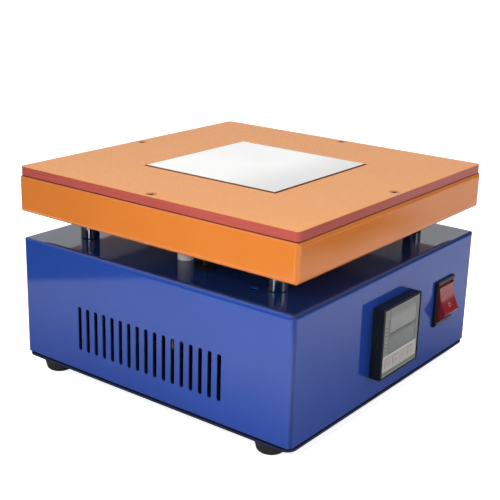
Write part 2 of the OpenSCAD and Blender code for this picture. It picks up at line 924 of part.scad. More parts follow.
module controller_fascia() {
    color("silver") translate([0, mid_y, 0])
        translate([ctrl_x, fascia_y + fascia_t, ctrl_z])
            rotate([90, 0, 0])
                linear_extrude(fascia_t)
                    difference() {
                        square(fascia_w, center = true);
                        translate([window_x, pv_z])
                            square([window_w, pv_h], center = true);
                        translate([window_x, sv_z])
                            square([window_w, sv_h], center = true);
                        for (x = key_xs)
                            translate([x, key_z])
                                square([key_w + 2 * move_gap, key_h + 2 * move_gap], center = true);
                        for (i = [0:lamp_count - 1])
                            translate([lamp_x, lamp_top_z - i * lamp_pitch])
                                circle(d = lamp_d + 2 * display_gap);
                    }
}

module display(z, h) {
    color("darkslategray") translate([0, mid_y, 0])
        block_from(ctrl_x + window_x, fascia_y + display_set, ctrl_z + z,
            [window_w - 2 * display_gap, display_t, h - 2 * display_gap]);
}

module display_upper() {
    display(pv_z, pv_h);
}

module display_lower() {
    display(sv_z, sv_h);
}

module indicator_lamps() {
    color("firebrick") translate([0, mid_y, 0])
        for (i = [0:lamp_count - 1])
            translate([ctrl_x + lamp_x, board_front_y, ctrl_z + lamp_top_z - i * lamp_pitch])
                rotate([90, 0, 0])
                    cylinder(d = lamp_d, h = display_t);
}

// Key cap in the fascia, with a rim behind it that keeps it from falling out
module key(i) {
    rim_y = fascia_y + fascia_t + move_gap;
    color("gainsboro") translate([0, mid_y, 0])
        union() {
            block_from(ctrl_x + key_xs[i], fascia_y - key_proud, ctrl_z + key_z,
                [key_w, rim_y - fascia_y + key_proud + 0.1, key_h]);
            block_from(ctrl_x + key_xs[i], rim_y, ctrl_z + key_z,
                [key_w + 2 * key_rim, key_rim_t, key_h + 2 * key_rim]);
        }
}

module key_one() {
    key(0);
}

module key_two() {
    key(1);
}

module key_three() {
    key(2);
}

module key_four() {
    key(3);
}

module display_board() {
    side = ctrl_hollow_w - 2 * move_gap;
    color("darkgreen") translate([0, mid_y, 0])
        union() {
            block_from(ctrl_x, board_front_y, ctrl_z, [side, pcb_t, side]);
            for (x = key_xs)
                block_from(ctrl_x + x, board_front_y - dome_h, ctrl_z + key_z, [6, dome_h + 0.1, 4]);
        }
}

module controller_board() {
    top_z = ctrl_z - 10;
    length = ctrl_rear_y - terminal_t - board_front_y - pcb_t - 0.6;
    start_y = board_front_y + pcb_t + 0.3;
    color("darkgreen") translate([0, mid_y, 0])
        union() {
            block_from(ctrl_x, start_y, top_z - pcb_t / 2, [ctrl_hollow_w - 0.6, length, pcb_t]);
            block_from(ctrl_x - 6, start_y + 34, top_z + 8.9, [24, 20, 18]);
            block_from(ctrl_x + 11, start_y + 8, top_z + 5.4, [10, 20, 11]);
            translate([ctrl_x - 10, start_y + 18, top_z - 0.1])
                cylinder(d = 10, h = 16);
        }
}

module terminal_screw_places() {
    for (side = [-1, 1], i = [0:terminal_rows - 1])
        translate([
            ctrl_x + side * terminal_x,
            ctrl_rear_y,
            ctrl_z + terminal_rise(i)
        ])
            children();
}

module controller_terminals() {
    color("black") translate([0, mid_y, 0])
        difference() {
            block_from(ctrl_x, ctrl_rear_y - terminal_t, ctrl_z,
                [ctrl_hollow_w - 0.4, terminal_t, ctrl_hollow_w - 0.4]);
            terminal_screw_places()
                block_from(0, -3, 0, [12, 4, terminal_pitch - 1.4]);
            terminal_screw_places()
                rotate([90, 0, 0])
                    cylinder(d = 3 + 2 * pin_gap, h = terminal_t - 1);
            for (side = [-1, 1], i = [0:terminal_rows - 1])
                translate([ctrl_x + side * entry_x, ctrl_rear_y + 1, ctrl_z + terminal_rise(i)])
                    rotate([90, 0, 0])
                        cylinder(d = well_d, h = entry_len + 1);
        }
}

module terminal_screws() {
    color("silver") translate([0, mid_y, 0])
        terminal_screw_places()
            translate([0, -3, 0])
                rotate([-90, 0, 0])
                    pan_screw(3, 4, 5, 2);
}

// Frame that slides over the housing from behind and presses on the panel
module controller_clamp() {
    clamp_y = front_y + cover_t;
    inner_w = ctrl_body_w + 2 * fit_gap;
    color("black") translate([0, mid_y, 0])
        difference() {
            union() {
                block_from(ctrl_x, clamp_y, ctrl_z, [inner_w + 6, 5, inner_w + 6]);
                for (z = [-1, 1])
                    block_from(ctrl_x, clamp_y + 4.9, ctrl_z + z * (inner_w / 2 + 1), [16, 14, 2]);
            }
            block_from(ctrl_x, clamp_y - 1, ctrl_z, [inner_w, 22, inner_w]);
        }
}

module switch_housing() {
    snap_y = front_y + cover_t + 0.1;
    color("black") translate([0, mid_y, 0])
        difference() {
            union() {
                translate([switch_x, front_y - switch_proud, switch_z])
                    chamfered_slab(switch_w, switch_h, switch_proud, 0.8);
                block_from(switch_x, front_y - 0.1, switch_z,
                    [switch_body_w, switch_depth + 0.1, switch_body_h]);
                for (side = [-1, 1])
                    translate([switch_x + side * switch_body_w / 2, snap_y, switch_z])
                        linear_extrude(8, center = true)
                            polygon([[0, 0], [side * 0.9, 0], [0, 6]]);
            }
            block_from(switch_x, front_y - switch_proud - 1, switch_z,
                [pocket_w, pocket_floor_y - front_y + switch_proud + 1, pocket_h]);
            translate([switch_x, pivot_y, switch_z])
                rotate([0, 90, 0])
                    cylinder(d = pivot_d + 2 * pin_gap, h = far / 10, center = true);
            for (x = [-1, 1], z = [-1, 1])
                block_from(switch_x + x * tab_dx, front_y + switch_depth - 5, switch_z + z * tab_dz,
                    [tab_t + 0.1, 6, tab_w + 0.1]);
        }
}

// Rocker about its pivot: round ends that clear the pocket and a dished face, tilted to its rest
module rocker() {
    color("red") translate([0, mid_y, 0])
        translate([switch_x, pivot_y, switch_z])
            rotate([-rocker_tilt, 0, 0])
                union() {
                    rotate([90, 0, 90])
                        linear_extrude(rocker_w, center = true)
                            difference() {
                                circle(rocker_r);
                                translate([rocker_back, -rocker_r])
                                    square(2 * rocker_r);
                                translate([rocker_dish - crest_y - dish_r, 0])
                                    circle(dish_r, $fn = 96);
                            }
                    rotate([0, 90, 0])
                        cylinder(d = pivot_d, h = pocket_w + 1.8, center = true);
                }
}

module switch_tabs() {
    color("silver") translate([0, mid_y, 0])
        for (x = [-1, 1], z = [-1, 1])
            block_from(switch_x + x * tab_dx, front_y + switch_depth - 5, switch_z + z * tab_dz,
                [tab_t, 5 + tab_len, tab_w]);
}

// Outline of the socket: a rectangle with its two upper corners cut off
module socket_outline() {
    w = socket_w / 2;
    h = socket_h / 2;
    polygon([
        [-w, -h], [w, -h], [w, h - socket_corner], [w - socket_corner, h],
        [-w + socket_corner, h], [-w, h - socket_corner]
    ]);
}

module inlet_housing() {
    color("black") translate([0, mid_y, 0])
        difference() {
            union() {
                translate([inlet_x, rear_y + inlet_flange_t, inlet_z])
                    rotate([0, 0, 180])
                        chamfered_slab(inlet_w, inlet_h, inlet_flange_t, 0.8);
                block_from(inlet_x, inlet_back_y, inlet_z,
                    [inlet_body_w, inlet_body_depth + 0.1, inlet_body_h]);
            }
            translate([inlet_x, rear_y + inlet_flange_t + 1, socket_z])
                rotate([90, 0, 0])
                    linear_extrude(socket_depth + 1)
                        socket_outline();
            for (at = blade_at)
                block_from(inlet_x + at[0], inlet_back_y - 1, socket_z + at[1],
                    [blade_w + 0.1, inlet_body_depth, blade_h + 0.1]);
            block_from(inlet_x, rear_y + inlet_flange_t - drawer_len - move_gap, drawer_z,
                [drawer_w + 2 * move_gap, drawer_len + 2, drawer_h + 2 * move_gap]);
        }
}

module inlet_blades() {
    color("goldenrod") translate([0, mid_y, 0])
        for (at = blade_at)
            block_from(inlet_x + at[0], inlet_back_y - tab_len, socket_z + at[1],
                [blade_w, socket_floor_y + blade_len - inlet_back_y + tab_len, blade_h]);
}

module fuse_drawer() {
    start_y = rear_y + inlet_flange_t - drawer_len;
    face_y = rear_y + inlet_flange_t + move_gap;
    color("black") translate([0, mid_y, 0])
        difference() {
            union() {
                block_from(inlet_x, start_y, drawer_z, [drawer_w, drawer_len + move_gap + 0.1, drawer_h]);
                block_from(inlet_x, face_y, drawer_z, [drawer_face_w, drawer_face_t, drawer_face_h]);
            }
            block_from(inlet_x, start_y + 2, drawer_z + 2,
                [fuse_cap_d + 0.4, fuse_len + 0.4, drawer_h + 0.4]);
            block_from(inlet_x, face_y + 0.8, drawer_z + drawer_face_h / 2 - 1, [9, drawer_face_t, 2.2]);
        }
}

module fuse() {
    cap_len = 5;
    color("gainsboro") translate([0, mid_y, 0])
        translate([inlet_x, rear_y + inlet_flange_t - drawer_len + 2.2, drawer_z + 0.9])
            rotate([-90, 0, 0])
                union() {
                    cylinder(d = fuse_cap_d, h = cap_len);
                    cylinder(d = fuse_d, h = fuse_len);
                    translate([0, 0, fuse_len - cap_len])
                        cylinder(d = fuse_cap_d, h = cap_len);
                }
}

module solid_state_relay() {
    color("whitesmoke") translate([0, mid_y, 0])
        difference() {
            translate([relay_at[0], relay_at[1], floor_z]) {
                translate([-relay_w / 2, -relay_d / 2, 0])
                    cube([relay_w, relay_d, 4]);
                translate([-relay_w / 2 + 1, -relay_d / 2 + 9.5, 3.9])
                    cube([relay_w - 2, relay_d - 19, relay_h - 3.9]);
                for (x = [-1, 1], y = [-1, 1])
                    translate([x * relay_post_x - 7, y * relay_post_y - 5, 3.9])
                        cube([14, 10, relay_post_z - floor_z - 3.9]);
            }
            translate([relay_at[0], relay_at[1], floor_z - 1])
                at_ends(relay_hole_pitch)
                    cylinder(d = m4_hole_d, h = 6);
            translate([relay_at[0], relay_at[1], relay_post_z - well_len])
                at_corners(2 * relay_post_x, 2 * relay_post_y)
                    cylinder(d = well_d, h = well_len + 1);
        }
}

module relay_screws() {
    color("silver") translate([0, mid_y, 0])
        translate([relay_at[0], relay_at[1], floor_z + 4])
            at_ends(relay_hole_pitch)
                pan_screw(m4_d, 4 + base_t + 1, m4_head_d, m4_head_h);
}

module terminal_strip() {
    color("black") translate([0, mid_y, 0])
        translate([strip_at[0], strip_at[1], floor_z])
            difference() {
                union() {
                    translate([-strip_w / 2, -strip_len / 2, 0])
                        cube([strip_w, strip_len, strip_h - 6]);
                    for (i = [0:strip_poles - 1])
                        translate([-strip_w / 2 + 1, pole_y(i) - 3.5, 0])
                            cube([strip_w - 2, 7, strip_h]);
                }
                translate([0, 0, -1])
                    at_ends(strip_hole_pitch)
                        cylinder(d = m3_hole_d, h = strip_h + 2);
                for (x = [-1, 1], i = [0:strip_poles - 1])
                    translate([x * strip_row, pole_y(i), strip_h])
                        cube([strip_well_w, mains_lead_d + 2 * move_gap, 2 * well_len], center = true);
            }
}

module strip_screws() {
    color("silver") translate([0, mid_y, 0])
        translate([strip_at[0], strip_at[1], floor_z + strip_h - 6])
            at_ends(strip_hole_pitch)
                pan_screw(3, strip_h - 6 + base_t + 1, m3_head_d, m3_head_h);
}

module earth_stud() {
    color("goldenrod") translate([0, mid_y, 0])
        translate([earth_at[0], earth_at[1], base_z - 2])
            union() {
                cylinder(d = m4_head_d, h = 2);
                cylinder(d = m4_d, h = 2 + base_t + 14);
            }
}

module earth_nuts() {
    color("goldenrod") translate([0, mid_y, 0])
        for (level = [0, m4_nut_h + earth_gap])
            translate([earth_at[0], earth_at[1], floor_z + level])
                nut(m4_nut_af, m4_d + 2 * pin_gap, m4_nut_h);
}

// Leads of the three heaters, over to the bush, down through it and apart to their poles
module heater_leads() {
    down_z = floor_z + strip_h - well_len / 2;
    over_z = ceiling_z - 40;
    color("lightyellow") translate([0, mid_y, 0])
        for (i = [0:2]) {
            y = cartridge_ys[i];
            x = heater_lead_at(i)[0];
            bush_y = heater_lead_at(i)[1];
            if (i == 1)
                lead([
                    [plate_side_x - heater_collar, 0, bore_z],
                    [x, 0, bore_z],
                    [x, 0, down_z]
                ], heater_lead_d, lead_bend_r);
            else
                lead([
                    [plate_side_x - heater_collar, y, bore_z],
                    [x, y, bore_z],
                    [x, bush_y, bore_z],
                    [x, bush_y, over_z],
                    [x, pole_y(i + 1), over_z],
                    [x, pole_y(i + 1), down_z]
                ], heater_lead_d, lead_bend_r);
        }
}

// Lead of the probe, down through both grommets and along to the controller
module sensor_lead() {
    start_x = plate_side_x - probe_collar;
    turn_z = bore_z - 11;
    run_z = ctrl_z + terminal_rise(3);
    end_x = ctrl_x - entry_x;
    color("dimgray") translate([0, mid_y, 0])
        lead([
            [start_x, probe_y, bore_z],
            [start_x - lead_bend_r, probe_y, bore_z],
            [start_x - lead_bend_r, probe_y, turn_z],
            [-grommet_reach, probe_y, turn_z],
            [-grommet_reach, probe_y, run_z],
            [end_x, probe_y, run_z],
            [end_x, ctrl_rear_y - entry_len + 1, run_z]
        ], sensor_lead_d, lead_bend_r);
}

// Leads from the two mains blades of the inlet along the side of the case to the switch
module mains_leads() {
    start_y = inlet_back_y - tab_len;
    end_y = front_y + switch_depth + tab_len;
    color("brown") translate([0, mid_y, 0])
        for (i = [0, 1]) {
            start = [inlet_x + blade_at[i][0], start_y, socket_z + blade_at[i][1]];
            tab_x = switch_x + (i == 0 ? -tab_dx : tab_dx);
            channel_x = side_x - 5 * i;
            far_y = start_y - 10.5 - 6 * i;
            near_y = end_y + 14 + 6 * i;
            lead([
                start,
                [start[0], far_y, start[2]],
                [start[0], far_y, high_z],
                [channel_x, far_y, high_z],
                [channel_x, near_y, high_z],
                [tab_x, near_y, high_z],
                [tab_x, near_y, switch_z + tab_dz],
                [tab_x, end_y, switch_z + tab_dz]
            ], mains_lead_d, lead_bend_r);
        }
}

// Leads from the switch to the relay, from the relay to the strip and from the switch to the strip
module load_leads() {
    start_y = front_y + switch_depth + tab_len;
    start_z = switch_z - tab_dz;
    post_y = relay_at[1] - relay_post_y;
    post_z = relay_post_z - well_len + move_gap;
    well_z = floor_z + strip_h - well_len + move_gap;
    strip_x = strip_at[0] + strip_row;
    color("saddlebrown") translate([0, mid_y, 0]) {
        lead([
            [switch_x - tab_dx, start_y, start_z],
            [switch_x - tab_dx, post_y, start_z],
            [relay_at[0] + relay_post_x, post_y, start_z],
            [relay_at[0] + relay_post_x, post_y, post_z]
        ], mains_lead_d, lead_bend_r);
        lead([
            [relay_at[0] - relay_post_x, post_y, post_z],
            [relay_at[0] - relay_post_x, post_y, high_z - 16],
            [relay_at[0] - relay_post_x, pole_y(3), high_z - 16],
            [strip_x, pole_y(3), high_z - 16],
            [strip_x, pole_y(3), well_z]
        ], mains_lead_d, lead_bend_r);
        lead([
            [switch_x + tab_dx, start_y, start_z],
            [switch_x + tab_dx, pole_y(1), start_z],
            [switch_x + tab_dx, pole_y(1), high_z - 10],
            [strip_x, pole_y(1), high_z - 10],
            [strip_x, pole_y(1), well_z]
        ], mains_lead_d, lead_bend_r);
    }
}

// Leads from the output of the controller to the relay
module control_leads() {
    start_y = ctrl_rear_y - entry_len + move_gap;
    post_y = relay_at[1] + relay_post_y;
    post_z = relay_post_z - well_len + move_gap;
    low_z = ctrl_z + terminal_rise(1);
    color("midnightblue") translate([0, mid_y, 0]) {
        lead([
            [ctrl_x - entry_x, start_y, low_z],
            [ctrl_x - entry_x, post_y, low_z],
            [relay_at[0] - relay_post_x, post_y, low_z],
            [relay_at[0] - relay_post_x, post_y, post_z]
        ], mains_lead_d, lead_bend_r);
        lead([
            [ctrl_x + entry_x, start_y, ctrl_z],
            [ctrl_x + entry_x, post_y - 12, ctrl_z],
            [relay_at[0] + relay_post_x, post_y - 12, ctrl_z],
            [relay_at[0] + relay_post_x, post_y, ctrl_z],
            [relay_at[0] + relay_post_x, post_y, post_z]
        ], mains_lead_d, lead_bend_r);
    }
}

// Lead from the earth blade of the inlet to the stud
module earth_lead() {
    start = [inlet_x + blade_at[2][0], inlet_back_y - tab_len, socket_z + blade_at[2][1]];
    end_z = floor_z + m4_nut_h + earth_gap / 2;
    color("yellowgreen") translate([0, mid_y, 0])
        lead([
            start,
            [start[0], start[1] - 6, start[2]],
            [earth_at[0], start[1] - 6, start[2]],
            [earth_at[0], start[1] - 6, end_z],
            [earth_at[0], earth_at[1] + m4_d / 2 + move_gap, end_z]
        ], mains_lead_d, lead_bend_r);
}

base_plate();
cover();
rubber_feet();
foot_screws();
foot_nuts();
cover_screws();
cover_nuts();
posts();
post_screws();
post_washers();
post_nuts();
lead_bush();
lead_grommets();
tray();
insulation_blanket();
insulation_pad();
top_board();
board_screws();
heated_plate();
cartridge_heaters();
temperature_probe();
plate_spacers();
plate_screws();
controller_housing();
controller_fascia();
display_upper();
display_lower();
indicator_lamps();
key_one();
key_two();
key_three();
key_four();
display_board();
controller_board();
controller_terminals();
terminal_screws();
controller_clamp();
switch_housing();
rocker();
switch_tabs();
inlet_housing();
inlet_blades();
fuse_drawer();
fuse();
solid_state_relay();
relay_screws();
terminal_strip();
strip_screws();
earth_stud();
earth_nuts();
heater_leads();
sensor_lead();
mains_leads();
load_leads();
control_leads();
earth_lead();
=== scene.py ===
import json
import math

import bmesh
import bpy
from mathutils import Matrix, Vector


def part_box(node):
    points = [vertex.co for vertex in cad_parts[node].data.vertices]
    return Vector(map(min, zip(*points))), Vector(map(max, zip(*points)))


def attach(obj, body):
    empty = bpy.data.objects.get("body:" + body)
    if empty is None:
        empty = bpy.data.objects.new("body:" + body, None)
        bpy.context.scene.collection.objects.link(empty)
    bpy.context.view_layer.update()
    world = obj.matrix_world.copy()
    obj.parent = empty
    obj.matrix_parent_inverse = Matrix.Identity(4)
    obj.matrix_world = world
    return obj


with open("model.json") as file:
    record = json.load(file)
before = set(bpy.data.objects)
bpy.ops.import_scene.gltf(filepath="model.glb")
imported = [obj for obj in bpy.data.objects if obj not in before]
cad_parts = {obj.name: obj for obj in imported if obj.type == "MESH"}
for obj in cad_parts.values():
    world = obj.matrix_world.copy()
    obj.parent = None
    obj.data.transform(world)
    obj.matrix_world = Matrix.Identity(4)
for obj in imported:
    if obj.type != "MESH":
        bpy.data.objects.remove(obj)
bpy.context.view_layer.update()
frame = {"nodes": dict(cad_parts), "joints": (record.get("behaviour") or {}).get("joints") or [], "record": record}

MM = 0.001

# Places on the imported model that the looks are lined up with
COVER_LOW, COVER_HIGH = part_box("cover")
CASE_TOP = COVER_HIGH.z
CASE_HALF = COVER_HIGH.x
MID_Y = (COVER_LOW.y + COVER_HIGH.y) / 2
VENT_TOP = CASE_TOP - 8 * MM
VENT_ROW = 122 * MM
BASE_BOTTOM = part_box("base_plate")[0].z
TRAY_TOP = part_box("tray")[1].z
BOARD_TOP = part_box("top_board")[1].z
PLATE_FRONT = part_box("heated_plate")[0].y
FASCIA_LOW, FASCIA_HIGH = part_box("controller_fascia")
FASCIA_MIDDLE = (FASCIA_LOW + FASCIA_HIGH) / 2
FASCIA_HALF = (FASCIA_HIGH.x - FASCIA_LOW.x) / 2

# Printed film of the controller, from its middle: the field of the keys, the dark line beside the lamps
# and the gap between the two windows
FILM_KEYS_Z = -13.45 * MM
FILM_KEYS_H = 9.9 * MM
FILM_COLUMN_X = -14.3 * MM
WINDOW_GAP_Z = 4.0 * MM

# Face of the rocker about its pivot, in millimetres and degrees
ROCKER_PIVOT = Vector(next(joint["pos_m"] for joint in frame["joints"] if joint["name"] == "rocker_hinge"))
ROCKER_TILT = -18
ROCKER_CREST = 8.107
ROCKER_DISH = 1.0
ROCKER_DISH_R = 39.6

# Printed marks, in millimetres: a ring has two radii, a bar half a width and half a height
PRINT_T = 0.05
ROCKER_MARK_Z = 4.1
ROCKER_RING = (1.5, 1.05)
ROCKER_BAR = (0.25, 1.5)
KEY_RING = (1.25, 0.8)
KEY_ARROW = ((0.0, 1.3), (-1.25, -0.9), (1.25, -0.9))
KEY_ARROW_HOLE = 0.45
LAMP_COUNT = 7
LAMP_LINE_REACH = 0.75
LAMP_LINE_R = 0.22

# The mark on each key: a ring, or an arrow head turned by so many degrees
KEY_MARKS = {"key_one": None, "key_two": 90, "key_three": 180, "key_four": 0}

# The camera of the photograph
CAMERA_AT = Vector((-0.5201, -0.3830, 0.2847))
CAMERA_AZIMUTH = 53.2483
CAMERA_ELEVATION = 17.8088
CAMERA_ROLL = 1.6366
CAMERA_LENS = 74.02
CAMERA_SENSOR = 36

# Level direction from the object to the camera's side, for what the gloss shows there
CAMERA_SIDE = (-0.80, -0.60, 0.0)

# The point that all lamps face
LIGHTS_AIM = Vector((0.0, 0.0, 0.08))

# Strength of the surround for matt surfaces
AMBIENT = 0.19

# Half the floor's width, and how far it is lifted towards white for the camera alone, with its shadow left
FLOOR_HALF = 3.0
FLOOR_LIFT = 0.80

BEVEL_SAMPLES = 4

# Sockets of a Mix node that mixes colours
MIX_A = 6
MIX_B = 7
MIX_RESULT = 2


class Nodes:
    """Short calls for building the nodes of a material or a world."""

    def __init__(self, tree, coordinates):
        self.tree = tree
        self.at = self.node("TexCoord").outputs[coordinates]
        split = self.node("SeparateXYZ")
        self.put(split.inputs[0], self.at)
        self.x, self.y, self.z = split.outputs

    def put(self, socket, value):
        """Gives a socket a value, or the output of another node."""
        if isinstance(value, bpy.types.NodeSocket):
            self.tree.links.new(value, socket)
        elif socket.type == "RGBA":
            socket.default_value = (*value, 1.0)
        else:
            socket.default_value = value

    def node(self, kind, **settings):
        node = self.tree.nodes.new("ShaderNode" + kind)
        for name, value in settings.items():
            setattr(node, name, value)
        return node

    def math(self, operation, a, b=0.0):
        node = self.node("Math", operation=operation)
        for socket, value in zip(node.inputs, (a, b)):
            self.put(socket, value)
        return node.outputs[0]

    def both(self, a, b):
        return self.math("MULTIPLY", a, b)

    def larger(self, a, b):
        return self.math("MAXIMUM", a, b)

    def distance(self, value, middle=0.0):
        """How far a coordinate lies from a middle, on either side of it."""
        return self.math("ABSOLUTE", self.math("SUBTRACT", value, middle))

    def ramp(self, value, low, high, start=0.0, end=1.0):
        """Smooth step of a value from start to end, between low and high."""
        node = self.node("MapRange", interpolation_type="SMOOTHSTEP")
        for socket, given in zip(node.inputs, (value, low, high, start, end)):
            self.put(socket, given)
        return node.outputs[0]

    def slab(self, value, middle, width, soft=0.08 * MM):
        """One where a coordinate lies within width round middle, and zero outside."""
        return self.ramp(self.distance(value, middle), width / 2 - soft, width / 2 + soft, 1.0, 0.0)


class Finish(Nodes):
    """A material on a Principled shader, with its pattern on Object coordinates."""

    def __init__(self, name, **uniform):
        self.material = bpy.data.materials.new(name)
        self.material.use_nodes = True
        super().__init__(self.material.node_tree, "Object")
        self.shader = self.tree.nodes["Principled BSDF"]
        self.set(**uniform)

    def set(self, **values):
        """Sets shader sockets, named in lower case with underscores, to a value or another socket."""
        for name, value in values.items():
            self.put(self.shader.inputs[name.replace("_", " ").title().replace("Ior", "IOR")], value)

    def mix(self, factor, a, b):
        node = self.node("Mix", data_type="RGBA")
        self.put(node.inputs[0], factor)
        self.put(node.inputs[MIX_A], a)
        self.put(node.inputs[MIX_B], b)
        return node.outputs[MIX_RESULT]

    def stretched(self, scale):
        """Object coordinates stretched by a scale for each axis."""
        node = self.node("Mapping")
        self.put(node.inputs["Vector"], self.at)
        node.inputs["Scale"].default_value = scale
        return node.outputs[0]

    def noise(self, size, detail=2.0, at=None):
        """Noise whose features are about size metres across."""
        node = self.node("TexNoise")
        self.put(node.inputs["Vector"], at or self.at)
        node.inputs["Scale"].default_value = 1.0 / size
        node.inputs["Detail"].default_value = detail
        return node.outputs[0]

    def spread(self, noise, start=0.0, end=1.0, reach=0.2):
        """Noise, which lies mostly within reach of a half, spread from start to end."""
        return self.ramp(noise, 0.5 - reach, 0.5 + reach, start, end)

    def rounded(self, radius):
        """Normal of edges that look rounded by a small radius."""
        node = self.node("Bevel", samples=BEVEL_SAMPLES)
        node.inputs["Radius"].default_value = radius
        return node.outputs[0]

    def bump(self, height, depth, rounding):
        """Bump of the given depth, over edges that look rounded by a small radius."""
        node = self.node("Bump")
        node.inputs["Strength"].default_value = 1.0
        node.inputs["Distance"].default_value = depth
        self.put(node.inputs["Height"], height)
        self.put(node.inputs["Normal"], self.rounded(rounding))
        self.put(self.shader.inputs["Normal"], node.outputs[0])


def on_seam(finish, low, high):
    """Where a seam between two heights shows on the four sides."""
    line = finish.slab(finish.z, (low + high) / 2, high - low, 0.15 * MM)
    reach = finish.larger(finish.distance(finish.x), finish.distance(finish.y, MID_Y))
    return finish.both(line, finish.ramp(reach, CASE_HALF - 3 * MM, CASE_HALF - 2 * MM))


def on_bends(finish):
    """Where the case's upright corners and the upper edge of its front are."""
    to_front = finish.math("SUBTRACT", MID_Y, finish.y)
    corner = finish.both(
        finish.ramp(finish.distance(finish.x), CASE_HALF - 2.6 * MM, CASE_HALF - 1.8 * MM),
        finish.ramp(finish.distance(to_front), CASE_HALF - 1.8 * MM, CASE_HALF - 0.6 * MM),
    )
    edge = finish.both(
        finish.ramp(finish.z, CASE_TOP - 2.4 * MM, CASE_TOP - 1.3 * MM),
        finish.ramp(to_front, CASE_HALF - 3.2 * MM, CASE_HALF - 2.6 * MM),
    )
    return finish.larger(finish.both(corner, 0.8), edge)


def behind_vents(finish):
    """Where the sides' inner faces and the cut edges of the vents are, above the underside."""
    inner = finish.ramp(finish.distance(finish.x), CASE_HALF - 0.3 * MM, CASE_HALF - 0.1 * MM, 1.0, 0.0)
    along = finish.slab(finish.y, MID_Y, VENT_ROW, MM)
    above = finish.ramp(finish.z, BASE_BOTTOM + 0.3 * MM, BASE_BOTTOM + 0.6 * MM)
    below = finish.ramp(finish.z, VENT_TOP, VENT_TOP + 2 * MM, 1.0, 0.0)
    return finish.both(finish.both(inner, along), finish.both(above, below))


def enamel(name, colour, deep, seam, seam_shade_colour, shade=None, inside=None, bend_shade=None):
    """Glossy stoved enamel on sheet metal, with slight mottling, orange peel and a dull line along a seam painted
    dark as shade.

    seam gives the two heights of the dull line.
    shade gives two heights, between which the tone goes over to a darker one, and that tone.
    inside is a darker tone painted as shade behind the vents and on their cut edges.
    bend is the tone painted as shade on the upright corners and along the front's upper edge."""
    finish = Finish(name, ior=1.65)
    mottle = finish.spread(finish.noise(38 * MM, detail=3.0), 0.0, 0.35)
    body = finish.mix(mottle, colour, deep)
    if bend_shade:
        body = finish.mix(on_bends(finish), body, bend_shade)
    if shade:
        low, high, tone = shade
        body = finish.mix(finish.ramp(finish.z, low, high), body, tone)
    if inside:
        body = finish.mix(behind_vents(finish), body, inside)
    # The seam line is painted dark as shade, and made rougher.
    dull = on_seam(finish, *seam)
    gloss = finish.spread(finish.noise(0.9 * MM, detail=1.0), 0.045, 0.085)
    finish.set(
        base_color=finish.mix(dull, body, seam_shade_colour),
        roughness=finish.math("ADD", gloss, finish.both(dull, 0.5)),
    )
    finish.bump(finish.noise(2.6 * MM, detail=1.5), 0.010 * MM, rounding=0.35 * MM)
    return finish.material


def blue_paint():
    return enamel(
        "blue_enamel",
        colour=(0.015, 0.066, 0.38),
        deep=(0.012, 0.050, 0.31),
        # The base plate's edge under the cover is painted dark as shade.
        seam=(BASE_BOTTOM - MM, COVER_LOW.z + 0.3 * MM),
        seam_shade_colour=(0.006, 0.012, 0.06),
        shade=(CASE_TOP - 1.3 * MM, CASE_TOP - 0.1 * MM, (0.004, 0.028, 0.140)),
        # Painted shade behind the vents and on their cut edges.
        inside=(0.012, 0.030, 0.085),
        # Painted shade on the upright corners and the front's upper edge.
        bend_shade=(0.005, 0.026, 0.150),
    )


def orange_paint():
    return enamel(
        "orange_enamel",
        colour=(0.77, 0.225, 0.032),
        deep=(0.68, 0.185, 0.026),
        # The tray's top edge under the board is painted dark as the board's shadow.
        seam=(TRAY_TOP - 0.75 * MM, TRAY_TOP + MM),
        seam_shade_colour=(0.20, 0.035, 0.012),
    )


def board_laminate():
    """Insulating board: a semi-gloss orange face over a dark red fibre core that shows at the edges."""
    finish = Finish("board_laminate", ior=1.5, specular_ior_level=0.32)
    grain = finish.noise(0.5 * MM)
    mottle = finish.spread(finish.noise(55 * MM), 0.0, 0.5)
    face = finish.mix(mottle, (0.84, 0.315, 0.060), (0.80, 0.295, 0.054))
    face = finish.mix(finish.ramp(grain, 0.35, 0.75, 0.0, 0.12), face, (0.90, 0.42, 0.13))
    layers = finish.noise(MM, at=finish.stretched((0.03, 0.03, 2.2)))
    core = finish.mix(layers, (0.40, 0.055, 0.045), (0.56, 0.125, 0.095))
    on_top = finish.ramp(finish.z, BOARD_TOP - 0.45 * MM, BOARD_TOP - 0.15 * MM)
    finish.set(base_color=finish.mix(on_top, core, face), roughness=finish.spread(grain, 0.20, 0.28))
    finish.bump(grain, 0.006 * MM, rounding=0.25 * MM)
    return finish.material


def plate_aluminium():
    """Ground aluminium with a fine grain along X and a soft sheen, painted darker towards the front as a dimmer
    reflection there.
    """
    finish = Finish("ground_aluminium", metallic=1.0, anisotropic=0.2)
    grain = finish.noise(0.35 * MM, detail=3.0, at=finish.stretched((0.04, 1.0, 1.0)))
    cloud = finish.noise(60 * MM, detail=1.0)
    # Painted reflection: the plate's tone is darker towards the front, where its reflection is dimmer.
    wear_and_shade = finish.ramp(finish.y, PLATE_FRONT + 2 * MM, MID_Y + 2 * MM, 1.0, 0.0)
    bright = finish.mix(wear_and_shade, (0.97, 0.97, 0.965), (0.77, 0.775, 0.77))
    finish.set(
        base_color=finish.mix(finish.spread(grain, 0.0, 0.10), bright, (0.96, 0.96, 0.96)),
        roughness=finish.math("ADD", finish.spread(cloud, 0.38, 0.42), finish.spread(grain, 0.0, 0.06)),
    )
    finish.bump(grain, 0.002 * MM, rounding=0.3 * MM)
    return finish.material


def moulded(name, colour, wear_and_shade, rough, grain_size=0.35, depth=0.012, rounding=0.2):
    """Moulded or printed stuff with a fine texture, whose size, depth and rounding are in millimetres."""
    finish = Finish(name, ior=1.48)
    grain = finish.noise(grain_size * MM)
    finish.set(
        base_color=finish.mix(finish.spread(finish.noise(9 * MM), reach=0.25), colour, wear_and_shade),
        roughness=finish.spread(grain, rough - 0.06, rough + 0.08),
    )
    finish.bump(grain, depth * MM, rounding=rounding * MM)
    return finish.material


